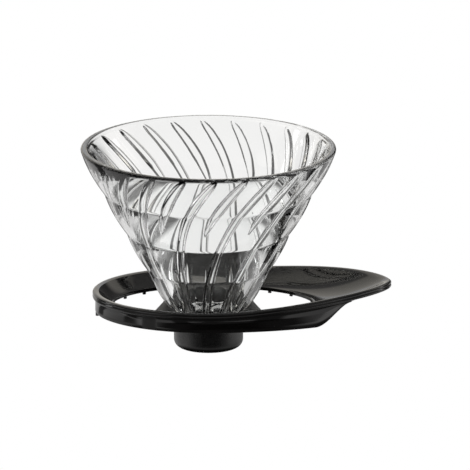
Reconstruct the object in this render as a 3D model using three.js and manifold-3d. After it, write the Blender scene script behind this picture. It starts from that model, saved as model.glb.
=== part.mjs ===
// A cone dripper for pour over coffee: a ribbed glass cone that stands in a two-part plastic
// holder with a paddle handle, pulled tight by a soft ring and a nut on the glass neck.
// Millimetres, +Z up. The nut's lower face is at z = 0, and the origin is under the middle of
// the whole object, so the cone's own axis lies a little to the left of it.
import * as THREE from 'three';
import { mergeVertices } from 'three/addons/utils/BufferGeometryUtils.js';
import Module from 'manifold-3d';

const wasm = await Module();
wasm.setup();

// Whole object
const TOTAL_HEIGHT = 93.5;
const RIM_RADIUS = 58;
const GAP = 0.3;
const MERGE_DISTANCE = 1e-4;
const CUT_MARGIN = 1;

// Glass cone
const RIM_THICKNESS = 3.1;
const RIM_ROUND = 1.1;
// The outer wall is a stack of barrel-shaped tiers above a round bowl. Each point is where one
// tier meets the next: [depth below the rim, radius], and the last one is where the bowl starts.
const TIER_ENDS = [[1.1, 58], [20.5, 47.6], [39.5, 37.3], [57, 27.9], [67, 23.2]];
const TIER_BULGES = [1.05, 1.05, 0.9, 0.15];
const TIER_STEPS = 4;
const BOWL_END_RADIUS = 13.2;
const BOWL_SLOPE = 0.5;
const BOWL_STEPS = 6;
const INNER_SLOPE = 0.577;
const OUTLET_RADIUS = 9;
const SHOULDER_Z = 16.5;
const NECK_RADIUS = 12.8;
const NECK_END_Z = 3;
const RIB_PAIRS = 12;
const RIB_PHASE = 4.7;
const RIB_TURN = 52;
const RIB_TURN_DEPTH = 55;
const RIB_HEIGHT = 1.2;
const RIB_START = 1;
const RIB_FADE_IN = 4;
const RIB_FADE_OUT = 10;
const SHORT_RIB_END = 30;
const LONG_RIB_END = 78;
const STEPS_PER_RIB = 4;
const INNER_DEPTHS = [4, 9, 15, 21, 27, 33, 40, 47, 54, 61, 68, 74];

// Screw thread between the neck and the nut
const THREAD_PITCH = 4;
const THREAD_STEPS = 36;
const THREAD_HALF_BASE = 0.8;
const THREAD_HALF_TIP = 0.4;
const THREAD_BURY = 0.4;
const THREAD_FADE_STEPS = 4;
const THREAD_LEAST_SHARE = 0.1;
const NECK_THREAD_TIP = 13.6;
const NECK_THREAD_Z = 4.4;
const NECK_THREAD_TURNS = 1.25;
const NUT_THREAD_TIP = 13.15;
const NUT_THREAD_TURNS = 0.75;

// Plate with the lip and the paddle handle
const PLATE_LEFT = 52.8;
const PLATE_TIP = 83.2;
const PLATE_HALF_DEPTH = 40.6;
const PADDLE_SHARPNESS = 1.24;
const HOLE_LEFT = 44;
const HOLE_RIGHT = 48;
const HOLE_HALF_DEPTH = 31.5;
const CREST_Z = 26.2;
const TIP_RISE = 4.8;
const LIP_HEIGHT = 3.1;
const LIP_WIDTH = 2.6;
// The lip's rounded section from its foot to its inner side: [inset, drop below the crest].
const LIP_SECTION = [[0.5, 3.1], [0, 2.5], [0, 1], [0.8, 0.1], [1.7, 0]];
const LIP_FOOT = 0.6;
const LIP_BLEND = 0.5;
const INNER_EDGE_Z = 20.1;
const DISH_BOW = 1.2;
const PADDLE_EXTRA_BOW = 0.5;
const DISH_SHARES = [0.75, 0.5, 0.25, 0];
const PLATE_THICKNESS = 1.6;
const PLATE_STEPS = 96;
const CATCH_ANGLES = [19.5, 41, 56, 131.5, 149, 167];
const CATCH_WIDTH = 1.5;
const CATCH_DEPTH = 0.9;
const CATCH_DROP = 1;
const CATCH_BURY = 0.5;
const CATCH_SHARE = 0.06;

// Skirt, web and hub below the plate
const SKIRT_INSET = 1.2;
const SKIRT_THICKNESS = 2;
const SKIRT_BOTTOM_Z = 16.8;
const SKIRT_RISE_START = 48.7;
const SKIRT_END = 65;
const SKIRT_LEAST_HEIGHT = 0.5;
const SKIRT_STEPS = 80;
const WEB_TOP_Z = 19.5;
const WEB_UNDER_PLATE_Z = 18.1;
// Half of the web's width from the front to the back: [y, half width].
const WEB_WIDTHS = [[-40.6, 25.4], [-12, 24.6], [5, 20.4], [40.6, 20.4]];
const WEB_CLEARANCE = 1.6;
const WEB_OVERLAP = 0.5;
const HUB_RADIUS = 19.6;
const HUB_EDGE = 0.6;
const HUB_BOTTOM_Z = 13.5;
const HUB_HOLE_RADIUS = 14.1;
const FOOT_WIDTH = 2.3;
const FOOT_THICKNESS = 1.6;
const FOOT_DROP = 2.6;
const FOOT_BURY = 1;
const ROUND_STEPS = 72;

// Seal ring and nut
const SEAL_TOP_Z = HUB_BOTTOM_Z - GAP;
const SEAL_THICKNESS = 1.1;
const SEAL_OUTER_RADIUS = 15.5;
const SEAL_EDGE = 0.3;
const NUT_RADIUS = 15.75;
const NUT_TOP_Z = SEAL_TOP_Z - SEAL_THICKNESS - GAP;
const NUT_BORE_RADIUS = 14;
const NUT_FLOOR = 2.6;
const NUT_HOLE_RADIUS = 9.3;
const NUT_ROUND = 3.5;
const NUT_ROUND_STEPS = 4;
const NUT_EDGE = 0.5;

const DEGREE = Math.PI / 180;

// Builds a mesh from closed rings of equal length, joined one to the next and last to first.
function ringSolid(rings) {
  const around = rings[0].length;
  const points = rings.flat().flatMap((point) => [point.x, point.y, point.z]);
  const index = [];
  for (let ring = 0; ring < rings.length; ring++) {
    const here = ring * around;
    const next = ((ring + 1) % rings.length) * around;
    for (let step = 0; step < around; step++) {
      const after = (step + 1) % around;
      index.push(here + step, next + step, next + after);
      index.push(here + step, next + after, here + after);
    }
  }
  const geometry = new THREE.BufferGeometry();
  geometry.setAttribute('position', new THREE.Float32BufferAttribute(points, 3));
  geometry.setIndex(index);
  return facingOut(geometry);
}

// Turns every triangle round when the enclosed volume comes out negative.
function facingOut(geometry) {
  const position = geometry.getAttribute('position');
  const index = Array.from(geometry.getIndex().array);
  const corners = [new THREE.Vector3(), new THREE.Vector3(), new THREE.Vector3()];
  let volume = 0;
  for (let start = 0; start < index.length; start += 3) {
    corners.forEach((corner, offset) => corner.fromBufferAttribute(position, index[start + offset]));
    volume += corners[0].dot(corners[1].cross(corners[2]));
  }
  if (volume < 0) {
    for (let start = 0; start < index.length; start += 3) {
      [index[start], index[start + 1]] = [index[start + 1], index[start]];
    }
    geometry.setIndex(index);
  }
  return geometry;
}

function toSolid(geometry) {
  const plain = geometry.clone();
  plain.deleteAttribute('normal');
  plain.deleteAttribute('uv');
  const merged = mergeVertices(plain, MERGE_DISTANCE);
  return new wasm.Manifold(new wasm.Mesh({
    numProp: 3,
    vertProperties: new Float32Array(merged.getAttribute('position').array),
    triVerts: new Uint32Array(merged.getIndex().array),
  }));
}

function fromSolid(solid) {
  const mesh = solid.getMesh();
  const geometry = new THREE.BufferGeometry();
  geometry.setAttribute('position', new THREE.Float32BufferAttribute(mesh.vertProperties, 3));
  geometry.setIndex(Array.from(mesh.triVerts));
  geometry.computeVertexNormals();
  return geometry;
}

// A lathe turns a profile about Y, so it is stood up to turn about Z instead.
function turned(profile, steps) {
  const points = profile.map(([radius, height]) => new THREE.Vector2(radius, height));
  points.push(points[0].clone());
  const geometry = new THREE.LatheGeometry(points, steps);
  geometry.rotateX(Math.PI / 2);
  geometry.deleteAttribute('normal');
  geometry.deleteAttribute('uv');
  return facingOut(mergeVertices(geometry, MERGE_DISTANCE));
}

function extruded(outline, bottom, top) {
  const shape = new THREE.Shape(outline);
  const geometry = new THREE.ExtrudeGeometry(shape, { depth: top - bottom, bevelEnabled: false });
  geometry.translate(0, 0, bottom);
  return geometry;
}

function smoothStep(value) {
  const clamped = THREE.MathUtils.clamp(value, 0, 1);
  return clamped * clamped * (3 - 2 * clamped);
}

// A ridge that climbs round the axis, from one buried radius to a tip, fading at both ends.
function threadRidge(rootRadius, tipRadius, startZ, turns) {
  const steps = Math.round(turns * THREAD_STEPS);
  const buried = rootRadius + Math.sign(rootRadius - tipRadius) * THREAD_BURY;
  const points = [];
  for (let step = 0; step <= steps; step++) {
    const angle = (step / THREAD_STEPS) * 2 * Math.PI;
    const height = startZ + (THREAD_PITCH * step) / THREAD_STEPS;
    const fade = Math.min(step, steps - step, THREAD_FADE_STEPS) / THREAD_FADE_STEPS;
    const tip = THREE.MathUtils.lerp(buried, tipRadius, Math.max(fade, THREAD_LEAST_SHARE));
    const section = [
      [buried, -THREAD_HALF_BASE],
      [tip, -THREAD_HALF_TIP],
      [tip, THREAD_HALF_TIP],
      [buried, THREAD_HALF_BASE],
    ];
    for (const [radius, offset] of section) {
      points.push(Math.cos(angle) * radius, Math.sin(angle) * radius, height + offset);
    }
  }
  const index = [];
  for (let step = 0; step < steps; step++) {
    for (let side = 0; side < 4; side++) {
      const here = step * 4 + side;
      const beside = step * 4 + ((side + 1) % 4);
      index.push(here, here + 4, beside + 4);
      index.push(here, beside + 4, beside);
    }
  }
  const last = steps * 4;
  index.push(0, 1, 2, 0, 2, 3);
  index.push(last, last + 2, last + 1, last, last + 3, last + 2);
  const geometry = new THREE.BufferGeometry();
  geometry.setAttribute('position', new THREE.Float32BufferAttribute(points, 3));
  geometry.setIndex(index);
  return facingOut(geometry);
}

// The bowl below the tiers: it starts at their slope and turns round to the shoulder.
function bowlRadius(depth) {
  const [startDepth, startRadius] = TIER_ENDS[TIER_ENDS.length - 1];
  const share = (depth - startDepth) / (TOTAL_HEIGHT - SHOULDER_Z - startDepth);
  const slide = BOWL_SLOPE * (depth - startDepth);
  const turn = startRadius - BOWL_END_RADIUS - BOWL_SLOPE * (TOTAL_HEIGHT - SHOULDER_Z - startDepth);
  return startRadius - slide - turn * (1 - Math.sqrt(Math.max(0, 1 - share * share)));
}

// Outer wall of the glass by depth below the rim: a straight cone in each tier plus its bulge.
function glassOuterRadius(depth) {
  if (depth > TIER_ENDS[TIER_ENDS.length - 1][0]) {
    return bowlRadius(depth);
  }
  const tier = TIER_BULGES.findIndex((_, place) => depth <= TIER_ENDS[place + 1][0]);
  const [startDepth, startRadius] = TIER_ENDS[tier];
  const [endDepth, endRadius] = TIER_ENDS[tier + 1];
  const share = (depth - startDepth) / (endDepth - startDepth);
  const bulge = TIER_BULGES[tier] * 4 * share * (1 - share);
  return THREE.MathUtils.lerp(startRadius, endRadius, share) + bulge;
}

function glassOuterDepths() {
  return TIER_BULGES.flatMap((_, tier) => Array.from({ length: TIER_STEPS }, (__, step) => (
    THREE.MathUtils.lerp(TIER_ENDS[tier][0], TIER_ENDS[tier + 1][0], step / TIER_STEPS))));
}

// Depths down the bowl, closer together where it turns under.
function bowlDepths() {
  const startDepth = TIER_ENDS[TIER_ENDS.length - 1][0];
  const endDepth = TOTAL_HEIGHT - SHOULDER_Z;
  return Array.from({ length: BOWL_STEPS + 1 }, (_, step) => (
    THREE.MathUtils.lerp(startDepth, endDepth, Math.sin((step / BOWL_STEPS) * Math.PI / 2))));
}

// Inner wall of the glass without its ribs, by depth below the rim.
function glassInnerRadius(depth) {
  return Math.max(OUTLET_RADIUS, RIM_RADIUS - RIM_THICKNESS - INNER_SLOPE * depth);
}

// Angle of a long rib, turning clockwise on its way down, quickly at first and then slower.
function ribAngle(depth) {
  return (RIB_PHASE - 90 - RIB_TURN * (1 - Math.exp(-depth / RIB_TURN_DEPTH))) * DEGREE;
}

// 1 on a rib's crest and 0 between ribs; every second rib is short.
function ribShape(step, depth) {
  const place = step % (2 * STEPS_PER_RIB);
  const isLong = place === 0;
  const isShort = place === STEPS_PER_RIB;
  const fadeIn = smoothStep((depth - RIB_START) / RIB_FADE_IN);
  if (isLong) {
    return fadeIn * smoothStep((LONG_RIB_END - depth) / RIB_FADE_OUT);
  }
  return isShort ? fadeIn * smoothStep((SHORT_RIB_END - depth) / RIB_FADE_OUT) : 0;
}

function glassRing(depth, radius, ribHeight = 0) {
  const count = RIB_PAIRS * 2 * STEPS_PER_RIB;
  const start = ribAngle(depth);
  return Array.from({ length: count }, (_, step) => {
    const angle = start + (step / count) * 2 * Math.PI;
    const reach = radius - ribHeight * ribShape(step, depth);
    return new THREE.Vector3(
      reach * Math.cos(angle), reach * Math.sin(angle), TOTAL_HEIGHT - depth);
  });
}

function glassCone() {
  const shoulderDepth = TOTAL_HEIGHT - SHOULDER_Z;
  const neckDepth = TOTAL_HEIGHT - NECK_END_Z;
  const innerRim = RIM_RADIUS - RIM_THICKNESS;
  const rings = [
    glassRing(neckDepth, NECK_RADIUS),
    glassRing(shoulderDepth, NECK_RADIUS),
  ];
  for (const depth of [...glassOuterDepths(), ...bowlDepths()].reverse()) {
    rings.push(glassRing(depth, glassOuterRadius(depth)));
  }
  rings.push(glassRing(0, RIM_RADIUS - RIM_ROUND));
  rings.push(glassRing(0, innerRim + RIM_ROUND));
  rings.push(glassRing(RIM_ROUND, innerRim - INNER_SLOPE * RIM_ROUND));
  for (const depth of INNER_DEPTHS) {
    rings.push(glassRing(depth, glassInnerRadius(depth), RIB_HEIGHT));
  }
  const throatDepth = (innerRim - OUTLET_RADIUS) / INNER_SLOPE;
  rings.push(glassRing(throatDepth, OUTLET_RADIUS));
  rings.push(glassRing(neckDepth, OUTLET_RADIUS));
  const ridge = threadRidge(NECK_RADIUS, NECK_THREAD_TIP, NECK_THREAD_Z, NECK_THREAD_TURNS);
  return fromSolid(toSolid(ringSolid(rings)).add(toSolid(ridge)));
}

// The plate's outline: half an ellipse on the left and a longer, more pointed half on the right.
function plateOutline(angle, inset) {
  const cosine = Math.cos(angle);
  const sine = Math.sin(angle);
  const reach = cosine < 0 ? PLATE_LEFT : PLATE_TIP;
  const bend = cosine < 0 ? 1 : PADDLE_SHARPNESS;
  const across = Math.sign(sine) * Math.abs(sine) ** bend;
  return new THREE.Vector2((reach - inset) * cosine, (PLATE_HALF_DEPTH - inset) * across);
}

// The hole's outline: two half ellipses that meet at the glass cone's axis.
function holeOutline(angle, inset) {
  const reach = (Math.cos(angle) < 0 ? HOLE_LEFT : HOLE_RIGHT) - inset;
  return new THREE.Vector2(reach * Math.cos(angle), (HOLE_HALF_DEPTH - inset) * Math.sin(angle));
}

// Height of the lip's crest, which climbs towards the paddle's tip.
function crestHeight(x) {
  return CREST_Z + TIP_RISE * smoothStep(x / PLATE_TIP);
}

// One point of the plate's dish: share is 0 at the hole's edge and 1 at the lip.
function dishPoint(angle, share, lower) {
  const outer = plateOutline(angle, LIP_WIDTH);
  const place = holeOutline(angle, 0).lerp(outer, share);
  const bow = DISH_BOW + PADDLE_EXTRA_BOW * smoothStep(Math.cos(angle));
  const rise = (crestHeight(outer.x) - INNER_EDGE_Z) * share ** bow;
  return new THREE.Vector3(place.x, place.y, INNER_EDGE_Z + rise - lower);
}

function lipPoint(angle, inset, drop) {
  const outline = plateOutline(angle, inset);
  return new THREE.Vector3(outline.x, outline.y, crestHeight(outline.x) - drop);
}

function handlePlate() {
  const angles = Array.from({ length: PLATE_STEPS }, (_, step) => (step / PLATE_STEPS) * 2 * Math.PI);
  const profile = [
    ...LIP_SECTION.map(([inset, drop]) => (angle) => lipPoint(angle, inset, drop)),
    (angle) => dishPoint(angle, 1, LIP_BLEND),
    ...DISH_SHARES.map((share) => (angle) => dishPoint(angle, share, 0)),
    ...DISH_SHARES.toReversed().map((share) => (angle) => dishPoint(angle, share, PLATE_THICKNESS)),
    (angle) => lipPoint(angle, LIP_WIDTH + LIP_FOOT, LIP_HEIGHT),
  ];
  let solid = toSolid(ringSolid(profile.map((pointAt) => angles.map(pointAt))));
  for (const degrees of CATCH_ANGLES) {
    for (const side of [-1, 1]) {
      solid = solid.add(toSolid(plateCatch(side * degrees * DEGREE)));
    }
  }
  return fromSolid(solid);
}

// A small tab that hangs from the hole's edge and holds the plate down on the skirt frame.
function plateCatch(angle) {
  const place = dishPoint(angle, CATCH_SHARE, 0);
  const height = PLATE_THICKNESS + CATCH_DROP - CATCH_BURY;
  const geometry = new THREE.BoxGeometry(CATCH_DEPTH, CATCH_WIDTH, height);
  const reach = Math.cos(angle) < 0 ? HOLE_LEFT : HOLE_RIGHT;
  geometry.rotateZ(Math.atan2(Math.sin(angle) / HOLE_HALF_DEPTH, Math.cos(angle) / reach));
  geometry.translate(place.x, place.y, INNER_EDGE_Z - CATCH_BURY - height / 2);
  return geometry;
}

// Lower edge of the skirt: level, then an upward sweep towards the paddle.
function skirtBottom(x, top) {
  const sweep = smoothStep((x - SKIRT_RISE_START) / (SKIRT_END - SKIRT_RISE_START));
  return THREE.MathUtils.lerp(SKIRT_BOTTOM_Z, top - SKIRT_LEAST_HEIGHT, sweep);
}

function skirtWall() {
  const endAngle = Math.acos(SKIRT_END / (PLATE_TIP - SKIRT_INSET));
  const rings = Array.from({ length: SKIRT_STEPS + 1 }, (_, step) => {
    const angle = THREE.MathUtils.lerp(endAngle, 2 * Math.PI - endAngle, step / SKIRT_STEPS);
    const outer = plateOutline(angle, SKIRT_INSET);
    const inner = plateOutline(angle, SKIRT_INSET + SKIRT_THICKNESS);
    const top = crestHeight(outer.x) - LIP_HEIGHT - GAP;
    const bottom = skirtBottom(outer.x, top);
    return [
      new THREE.Vector3(outer.x, outer.y, bottom),
      new THREE.Vector3(outer.x, outer.y, top),
      new THREE.Vector3(inner.x, inner.y, top),
      new THREE.Vector3(inner.x, inner.y, bottom),
    ];
  });
  return stripSolid(rings);
}

// Joins rings of four points into a bar with a flat cap at each end.
function stripSolid(rings) {
  const index = [];
  for (let ring = 0; ring < rings.length - 1; ring++) {
    for (let side = 0; side < 4; side++) {
      const here = ring * 4 + side;
      const beside = ring * 4 + ((side + 1) % 4);
      index.push(here, here + 4, beside + 4);
      index.push(here, beside + 4, beside);
    }
  }
  const last = (rings.length - 1) * 4;
  index.push(0, 1, 2, 0, 2, 3);
  index.push(last, last + 2, last + 1, last, last + 3, last + 2);
  const points = rings.flat().flatMap((point) => [point.x, point.y, point.z]);
  const geometry = new THREE.BufferGeometry();
  geometry.setAttribute('position', new THREE.Float32BufferAttribute(points, 3));
  geometry.setIndex(index);
  return facingOut(geometry);
}

// The web crosses from the front of the skirt to the back and is widest at the front.
function webOutline() {
  const right = WEB_WIDTHS.map(([y, width]) => new THREE.Vector2(width, y));
  const left = WEB_WIDTHS.map(([y, width]) => new THREE.Vector2(-width, y));
  return [...right, ...left.reverse()];
}

// The socket is the glass bowl's own shape with a gap, and a hole for the neck below it.
function hubSocket() {
  const topZ = TOTAL_HEIGHT - TIER_ENDS[TIER_ENDS.length - 1][0];
  const bottomZ = HUB_BOTTOM_Z - CUT_MARGIN;
  const bowl = bowlDepths().reverse()
    .map((depth) => [glassOuterRadius(depth) + GAP, TOTAL_HEIGHT - depth - GAP])
    .filter(([radius]) => radius > HUB_HOLE_RADIUS);
  return turned([
    [0, bottomZ],
    [HUB_HOLE_RADIUS, bottomZ],
    [HUB_HOLE_RADIUS, SHOULDER_Z - GAP],
    ...bowl,
    [0, topZ - GAP],
  ], ROUND_STEPS);
}

// The plan inside the middle of the skirt's wall, so that the web's ends are buried in it.
function skirtMiddle() {
  return Array.from({ length: PLATE_STEPS }, (_, step) => {
    const angle = (step / PLATE_STEPS) * 2 * Math.PI;
    return plateOutline(angle, SKIRT_INSET + SKIRT_THICKNESS / 2);
  });
}

function skirtFrame() {
  const web = toSolid(extruded(webOutline(), SKIRT_BOTTOM_Z, WEB_UNDER_PLATE_Z))
    .intersect(toSolid(extruded(
      skirtMiddle(), SKIRT_BOTTOM_Z - CUT_MARGIN, WEB_UNDER_PLATE_Z + CUT_MARGIN)));
  const inner = Array.from({ length: ROUND_STEPS }, (_, step) => (
    holeOutline((step / ROUND_STEPS) * 2 * Math.PI, WEB_CLEARANCE)));
  const raised = toSolid(extruded(webOutline(), SKIRT_BOTTOM_Z + WEB_OVERLAP, WEB_TOP_Z))
    .intersect(toSolid(extruded(inner, SKIRT_BOTTOM_Z, WEB_TOP_Z + CUT_MARGIN)));
  const hub = toSolid(turned([
    [0, HUB_BOTTOM_Z],
    [HUB_RADIUS - HUB_EDGE, HUB_BOTTOM_Z],
    [HUB_RADIUS, HUB_BOTTOM_Z + HUB_EDGE],
    [HUB_RADIUS, WEB_UNDER_PLATE_Z],
    [0, WEB_UNDER_PLATE_Z],
  ], ROUND_STEPS));
  const footHeight = FOOT_DROP + FOOT_BURY;
  const foot = new THREE.BoxGeometry(FOOT_THICKNESS, FOOT_WIDTH, footHeight);
  foot.translate(
    SKIRT_INSET + SKIRT_THICKNESS / 2 - PLATE_LEFT, 0, SKIRT_BOTTOM_Z - FOOT_DROP + footHeight / 2);
  return fromSolid(toSolid(skirtWall())
    .add(web)
    .add(raised)
    .add(hub)
    .add(toSolid(foot))
    .subtract(toSolid(hubSocket())));
}

function sealRing() {
  const bottom = SEAL_TOP_Z - SEAL_THICKNESS;
  return turned([
    [HUB_HOLE_RADIUS, bottom],
    [SEAL_OUTER_RADIUS - SEAL_EDGE, bottom],
    [SEAL_OUTER_RADIUS, bottom + SEAL_EDGE],
    [SEAL_OUTER_RADIUS, SEAL_TOP_Z - SEAL_EDGE],
    [SEAL_OUTER_RADIUS - SEAL_EDGE, SEAL_TOP_Z],
    [HUB_HOLE_RADIUS, SEAL_TOP_Z],
  ], ROUND_STEPS);
}

function clampNut() {
  const rounded = Array.from({ length: NUT_ROUND_STEPS + 1 }, (_, step) => {
    const angle = (step / NUT_ROUND_STEPS) * Math.PI / 2;
    return [
      NUT_RADIUS - NUT_ROUND + NUT_ROUND * Math.sin(angle),
      NUT_ROUND - NUT_ROUND * Math.cos(angle),
    ];
  });
  const body = toSolid(turned([
    [NUT_HOLE_RADIUS, 0],
    ...rounded,
    [NUT_RADIUS, NUT_TOP_Z - NUT_EDGE],
    [NUT_RADIUS - NUT_EDGE, NUT_TOP_Z],
    [NUT_BORE_RADIUS, NUT_TOP_Z],
    [NUT_BORE_RADIUS, NUT_FLOOR],
    [NUT_HOLE_RADIUS, NUT_FLOOR],
  ], ROUND_STEPS));
  const startZ = NECK_THREAD_Z + THREAD_PITCH / 2;
  const ridge = threadRidge(NUT_BORE_RADIUS, NUT_THREAD_TIP, startZ, NUT_THREAD_TURNS);
  return fromSolid(body.add(toSolid(ridge)));
}

function part(name, geometry, color, roughness, look = {}) {
  const material = new THREE.MeshStandardMaterial({ color, roughness, metalness: 0, ...look });
  const mesh = new THREE.Mesh(geometry, material);
  mesh.name = name;
  return mesh;
}

const assembly = new THREE.Group();
assembly.position.x = (RIM_RADIUS - PLATE_TIP) / 2;
assembly.add(
  part('glass_cone', glassCone(), 0xdfe6e4, 0.05, { transparent: true, opacity: 0.4 }),
  part('handle_plate', handlePlate(), 0x1b1918, 0.15),
  part('skirt_frame', skirtFrame(), 0x1a1819, 0.2),
  part('seal_ring', sealRing(), 0x2b2b2c, 0.7),
  part('clamp_nut', clampNut(), 0x222122, 0.4),
);

const group = new THREE.Group();
group.add(assembly);

export default group;
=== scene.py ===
"""A pour over dripper: a ribbed glass cone in a glossy black holder, drawn around its CAD model.

Lengths below are in millimetres and are turned into metres where meshes are made. The CAD boxes give
the main sizes, and the outlines repeat the CAD model's formulas with a much finer mesh.
"""
import math

import bmesh
import bpy
import numpy as np
from mathutils import Matrix, Vector


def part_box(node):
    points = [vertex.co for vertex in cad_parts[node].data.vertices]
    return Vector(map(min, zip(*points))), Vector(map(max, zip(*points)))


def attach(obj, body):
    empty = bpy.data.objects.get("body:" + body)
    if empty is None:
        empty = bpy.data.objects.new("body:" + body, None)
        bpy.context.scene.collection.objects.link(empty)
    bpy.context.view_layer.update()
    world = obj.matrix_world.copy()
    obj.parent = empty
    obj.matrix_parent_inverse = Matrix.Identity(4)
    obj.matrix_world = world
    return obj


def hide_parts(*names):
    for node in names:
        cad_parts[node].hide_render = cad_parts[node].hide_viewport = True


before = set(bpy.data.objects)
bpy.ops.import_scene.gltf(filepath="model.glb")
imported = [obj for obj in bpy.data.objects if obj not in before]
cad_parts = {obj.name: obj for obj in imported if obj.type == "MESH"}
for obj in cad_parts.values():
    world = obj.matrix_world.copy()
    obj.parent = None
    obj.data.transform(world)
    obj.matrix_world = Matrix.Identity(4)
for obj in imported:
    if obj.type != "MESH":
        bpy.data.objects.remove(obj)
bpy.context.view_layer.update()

MM = 0.001


def box_mm(node):
    low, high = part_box(node)
    return np.array(low) / MM, np.array(high) / MM


glass_low, glass_high = box_mm("glass_cone")
plate_low, plate_high = box_mm("handle_plate")
frame_low, _ = box_mm("skirt_frame")
seal_low, seal_high = box_mm("seal_ring")
nut_low, nut_high = box_mm("clamp_nut")

# Whole object
AXIS_X = (nut_low[0] + nut_high[0]) / 2
TOTAL_HEIGHT = glass_high[2]
RIM_RADIUS = (glass_high[0] - glass_low[0]) / 2

# Glass cone
RIM_THICKNESS = 3.1
RIM_ROUND = 1.0
# The outer wall is a stack of barrel-shaped tiers above a round bowl. The depths below the rim and
# the radii are where one tier meets the next; the last pair is where the bowl starts.
TIER_DEPTHS = (1.1, 20.5, 39.5, 57.0, 67.0)
TIER_RADII = (58.0, 47.6, 37.3, 27.9, 23.2)
TIER_BULGES = (1.05, 1.05, 0.9, 0.15)
# The corners between tiers are averaged over this length above and below.
TIER_BLEND = 0.7
TIER_BLEND_SAMPLES = 9
BOWL_END_RADIUS = 13.2
BOWL_SLOPE = 0.5
INNER_SLOPE = 0.577
INNER_BULGE = 0.15
INNER_BULGE_TIERS = 3
OUTLET_RADIUS = 9.0
SHOULDER_Z = 16.5
SHOULDER_FILLET = 0.15
NECK_RADIUS = 12.8
NECK_END_Z = glass_low[2]
NECK_ROUND = 0.4
RIB_COUNT = 24
RIB_PHASE = 4.7
RIB_TURN = 52.0
RIB_TURN_DEPTH = 55.0
RIB_START = 1.3
RIB_HEIGHT = 1.6
RIB_ARCH = 4.5
# Half the width of a rib by depth below the rim; the short ribs end in a point.
RIB_DEPTHS = (0.0, 12.0, 20.0, 30.0, 45.0, 62.0, 78.0)
LONG_HALF_WIDTHS = (2.0, 2.5, 2.2, 1.8, 1.8, 1.8, 1.6)
SHORT_RIB_DEPTHS = (0.0, 10.0, 16.0, 22.0, 27.0, 30.0)
SHORT_HALF_WIDTHS = (2.0, 2.6, 2.6, 2.0, 1.1, 0.35)
# The half width is never more than this share of the spacing, above and below the short ribs' ends.
RIB_SHARE_HIGH = 0.42
RIB_SHARE_LOW = 0.48
# Narrower ribs than this, by half width, are lower in proportion.
RIB_FULL_HALF_WIDTH = 1.3
RIB_LEAST_HALF_WIDTH = 1e-6
RIB_SQUARENESS = 3

# Spacing of the glass cone's points
GLASS_COLUMNS = 960
OUTER_STEP = 0.4
INNER_STEP = 0.45
BOWL_RINGS = 28
OUTLET_RINGS = 10
JOIN_STEP = 0.3

# Screw thread between the neck and the nut
THREAD_PITCH = 4.0
THREAD_HALF_BASE = 0.8
THREAD_HALF_TIP = 0.4
THREAD_FADE_TURNS = 0.1
THREAD_STEP = 0.2
NECK_THREAD_TIP = 13.6
NECK_THREAD_Z = 4.4
NECK_THREAD_TURNS = 1.25
NUT_THREAD_TIP = 13.15
NUT_THREAD_TURNS = 0.75

# Plate with the lip and the paddle handle
PLATE_LEFT = AXIS_X - plate_low[0]
PLATE_TIP = plate_high[0] - AXIS_X
PLATE_HALF_DEPTH = (plate_high[1] - plate_low[1]) / 2
PADDLE_SHARPNESS = 1.24
HOLE_LEFT = 44.0
HOLE_RIGHT = 48.0
HOLE_HALF_DEPTH = 31.5
CREST_Z = 26.2
TIP_RISE = 4.8
LIP_HEIGHT = 3.1
LIP_WIDTH = 2.6
INNER_EDGE_Z = 20.1
# The dish climbs as a power of the way out; the paddle's power is larger by the second number.
DISH_BOW = 1.2
PADDLE_EXTRA_BOW = 0.5
PLATE_THICKNESS = 1.6
PLATE_COLUMNS = 480
DISH_RINGS = 30
DISH_UNDER_RINGS = 16
# The lip from its foot over its crest, with a groove: (inset from the outline, drop from the crest).
LIP_SECTION = (
    (1.0, LIP_HEIGHT), (0.5, LIP_HEIGHT), (0.22, LIP_HEIGHT - 0.12), (0.06, LIP_HEIGHT - 0.4),
    (0.0, LIP_HEIGHT - 0.8), (0.04, 1.95), (0.2, 1.72), (0.28, 1.6), (0.2, 1.48), (0.03, 1.3),
    (0.0, 1.05), (0.04, 0.75), (0.2, 0.4), (0.5, 0.14), (0.9, 0.02), (1.35, 0.0), (1.8, 0.08),
)
# The edge of the hole: (share of the way out, height below the dish's face).
HOLE_EDGE = ((0.008, 0.05), (0.0, 0.25), (0.0, 0.8), (0.0, PLATE_THICKNESS - 0.2))
# The lip's underside: (inset from the outline, drop from the crest).
LIP_UNDERSIDE = ((LIP_WIDTH + 0.9, LIP_HEIGHT - 0.1), (LIP_WIDTH + 0.2, LIP_HEIGHT))
CATCH_ANGLES = (19.5, 41, 56, 131.5, 149, 167)
CATCH_WIDTH = 1.5
CATCH_DEEP = 0.9
CATCH_DROP = 1.0
CATCH_BURY = 0.5
CATCH_PLACE = 0.06
BLOCK_ROUND_SHARE = 0.22

# Skirt, web and hub
SKIRT_INSET = 1.2
SKIRT_THICKNESS = 2.0
SKIRT_BOTTOM_Z = 16.8
SKIRT_RISE_START = 48.7
SKIRT_END = 65.0
SKIRT_TIP_HEIGHT = 0.5
SKIRT_EDGE = 0.35
SKIRT_EDGE_SHARE = 0.3
SKIRT_COLUMNS = 360
FOOT_WIDTH = 2.3
FOOT_DROP = 2.6
FOOT_BURY = 1
FOOT_SHARE = 0.8
WEB_TOP_Z = 19.5
WEB_UNDER_PLATE_Z = 18.1
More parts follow.
